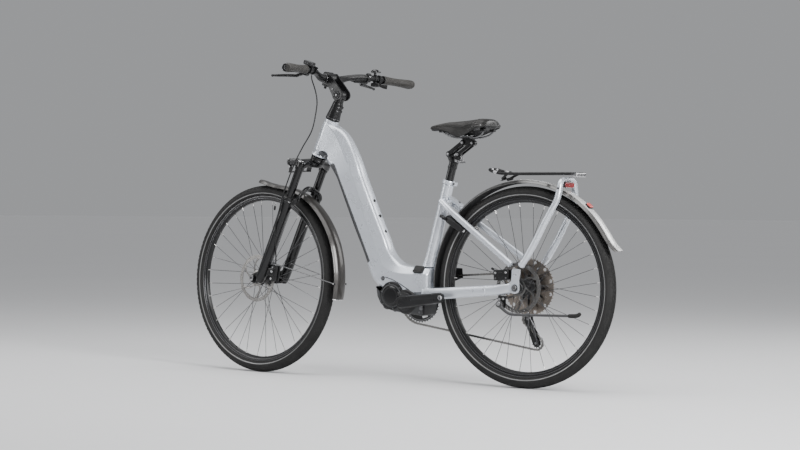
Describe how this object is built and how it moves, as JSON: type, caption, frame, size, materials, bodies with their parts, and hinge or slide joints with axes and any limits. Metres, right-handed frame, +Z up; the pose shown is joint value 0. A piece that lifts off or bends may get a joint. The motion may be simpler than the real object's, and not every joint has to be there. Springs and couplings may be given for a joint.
{
  "type": "electric bicycle",
  "caption": "Low step-through electric bicycle with a mid motor, battery in the down tube, suspension fork and seatpost, disc brakes, mudguards, rear carrier hoop and a folded stand.",
  "frame": {"origin": "on the floor below the middle of the whole bicycle's bounding box", "axes": "+X is the way the bicycle rides, +Y is the rider's left, +Z is up; the steering is stored turned 6.5 degrees to the right, as in the picture"},
  "size_m": [1.8973, 0.7037, 1.1773],
  "materials": {
    "silver_paint": "gloss pearl",
    "mudguard_grey": "satin",
    "black_paint": "satin",
    "black_alloy": "satin anodised",
    "black_plastic": "fine texture",
    "battery_grey": "satin",
    "red_lens": "gloss",
    "rubber": "matte",
    "saddle_cover": "satin grain",
    "tyre": "matte",
    "stand_grey": "satin",
    "chain_steel": "oiled",
    "bronze_steel": "coated",
    "disc_steel": "brushed"
  },
  "bodies": {
    "frame": {"main_frame": "silver_paint", "seat_tube": "silver_paint", "chainstay_left": "silver_paint", "chainstay_right": "silver_paint", "seatstays": "silver_paint", "carrier_hoop": "silver_paint", "carrier_platform": "black_paint", "rear_mudguard": "mudguard_grey", "rear_light": "red_lens", "motor_unit": "black_plastic", "chain_guard": "black_plastic", "seat_clamp": "silver_paint", "rear_axle": "black_alloy", "rear_caliper": "black_alloy", "derailleur_body": "black_alloy", "chain": "chain_steel", "frame_lock": "black_plastic", "stand_mount": "black_alloy"},
    "battery_pack": {"battery": "battery_grey"},
    "port_cap": {"charge_port_cap": "rubber"},
    "stand": {"stand_leg": "stand_grey"},
    "cage": {"derailleur_cage": "black_alloy"},
    "guide_wheel": {"guide_pulley": "black_plastic"},
    "tension_wheel": {"tension_pulley": "black_plastic"},
    "crank": {"crank_arm_left": "black_alloy", "crank_arm_right": "black_alloy", "chainring": "black_alloy"},
    "sprockets": {"cassette": "bronze_steel"},
    "rear_wheel": {"rear_hub_spokes": "black_alloy", "rear_rim": "black_alloy", "rear_tyre": "tyre", "rear_rotor": "disc_steel"},
    "steering_unit": {"fork_upper": "black_alloy", "stem_base": "black_alloy", "headlight": "black_plastic", "front_brake_hose": "rubber"},
    "cockpit": {"stem_arm": "black_alloy", "handlebar": "black_alloy", "grip_left": "rubber", "grip_right": "rubber", "brake_master_left": "black_alloy", "brake_master_right": "black_alloy", "shifter": "black_plastic", "remote": "black_plastic", "bell": "disc_steel"},
    "lever_left": {"brake_lever_left": "black_alloy"},
    "lever_right": {"brake_lever_right": "black_alloy"},
    "lower_fork": {"fork_lowers": "black_alloy", "front_caliper": "black_alloy", "front_mudguard": "mudguard_grey", "front_axle": "black_alloy"},
    "front_wheel": {"front_hub_spokes": "black_alloy", "front_rim": "black_alloy", "front_tyre": "tyre", "front_rotor": "disc_steel"},
    "post": {"seatpost": "black_alloy"},
    "link_front": {"post_link_front": "black_alloy"},
    "link_rear": {"post_link_rear": "black_alloy"},
    "seat": {"saddle_clamp": "black_alloy", "saddle": "saddle_cover"}
  },
  "joints": [
    {"name": "steering", "type": "hinge", "parent": "frame", "child": "steering_unit", "pos_m": [0.30595, -0.0019, 0.88], "axis": [-0.3987, 0, 0.9171], "range_deg": [-43.5, 56.5]},
    {"name": "stem_tilt", "type": "hinge", "parent": "steering_unit", "child": "cockpit", "pos_m": [0.23189, -0.00202, 1.053], "axis": [0.1038, 0.9936, 0.0451], "range_deg": [-12, 12]},
    {"name": "left_brake_lever", "type": "hinge", "parent": "cockpit", "child": "lever_left", "pos_m": [0.30441, 0.17356, 1.1215], "axis": [0.306, 0.1036, 0.9464], "range_deg": [0, 12], "stiffness_Nm_per_rad": 0.6},
    {"name": "right_brake_lever", "type": "hinge", "parent": "cockpit", "child": "lever_right", "pos_m": [0.26598, -0.19421, 1.10479], "axis": [-0.2692, 0.249, -0.9304], "range_deg": [0, 12], "stiffness_Nm_per_rad": 0.6},
    {"name": "fork_travel", "type": "slide", "parent": "steering_unit", "child": "lower_fork", "axis": [-0.3987, 0, 0.9171], "range_m": [0, 0.03], "stiffness_N_per_m": 9000, "springref_m": -0.02, "deforming": ["front_brake_hose"]},
    {"name": "front_wheel_spin", "type": "hinge", "parent": "lower_fork", "child": "front_wheel", "pos_m": [0.59258, -0.00813, 0.35786], "axis": [0.1038, 0.9936, 0.0451], "continuous": true},
    {"name": "rear_wheel_spin", "type": "hinge", "parent": "frame", "child": "rear_wheel", "pos_m": [-0.5771, -0.0019, 0.358], "axis": [0, 1, 0], "continuous": true},
    {"name": "crank_spin", "type": "hinge", "parent": "frame", "child": "crank", "pos_m": [-0.0991, -0.0019, 0.293], "axis": [0, 1, 0], "continuous": true},
    {"name": "cassette_spin", "type": "hinge", "parent": "frame", "child": "sprockets", "pos_m": [-0.5771, -0.0019, 0.358], "axis": [0, 1, 0], "continuous": true},
    {"name": "cage_swing", "type": "hinge", "parent": "frame", "child": "cage", "pos_m": [-0.5551, -0.0569, 0.26], "axis": [0, 1, 0], "range_deg": [-20, 10], "stiffness_Nm_per_rad": 0.5, "deforming": ["chain"]},
    {"name": "guide_spin", "type": "hinge", "parent": "cage", "child": "guide_wheel", "pos_m": [-0.5631, -0.0469, 0.244], "axis": [0, 1, 0], "continuous": true},
    {"name": "tension_spin", "type": "hinge", "parent": "cage", "child": "tension_wheel", "pos_m": [-0.5971, -0.0469, 0.159], "axis": [0, 1, 0], "continuous": true},
    {"name": "stand_swing", "type": "hinge", "parent": "frame", "child": "stand", "pos_m": [-0.5291, 0.0871, 0.296], "axis": [0, -0.9425, -0.3342], "range_deg": [0, 98]},
    {"name": "battery_release", "type": "hinge", "parent": "frame", "child": "battery_pack", "pos_m": [0.09201, -0.0019, 0.42378], "axis": [0, 1, 0], "range_deg": [0, 5]},
    {"name": "port_cap_lift", "type": "hinge", "parent": "frame", "child": "port_cap", "pos_m": [-0.12825, 0.03782, 0.41496], "axis": [0, 0.7485, -0.6631], "range_deg": [0, 60]},
    {"name": "seatpost_height", "type": "slide", "parent": "frame", "child": "post", "axis": [-0.2538, 0, 0.9673], "range_m": [-0.03, 0.05]},
    {"name": "post_front_link", "type": "hinge", "parent": "post", "child": "link_front", "pos_m": [-0.2541, -0.0019, 0.831], "axis": [0, -1, 0], "range_deg": [0, 13], "stiffness_Nm_per_rad": 120, "springref_deg": -4.58},
    {"name": "post_rear_link", "type": "hinge", "parent": "post", "child": "link_rear", "pos_m": [-0.2951, -0.0019, 0.829], "axis": [0, -1, 0], "range_deg": [-1, 14]},
    {"name": "saddle_level", "type": "hinge", "parent": "link_front", "child": "seat", "pos_m": [-0.3141, -0.0019, 0.872], "axis": [0, -1, 0], "range_deg": [-14, 1]}
  ],
  "couplings": [
    {"joint": "cassette_spin", "follows": "crank_spin", "ratio": 1.6667},
    {"joint": "guide_spin", "follows": "crank_spin", "ratio": -4},
    {"joint": "tension_spin", "follows": "crank_spin", "ratio": 4},
    {"joint": "post_rear_link", "follows": "post_front_link", "ratio": 1},
    {"joint": "saddle_level", "follows": "post_front_link", "ratio": -1}
  ]
}
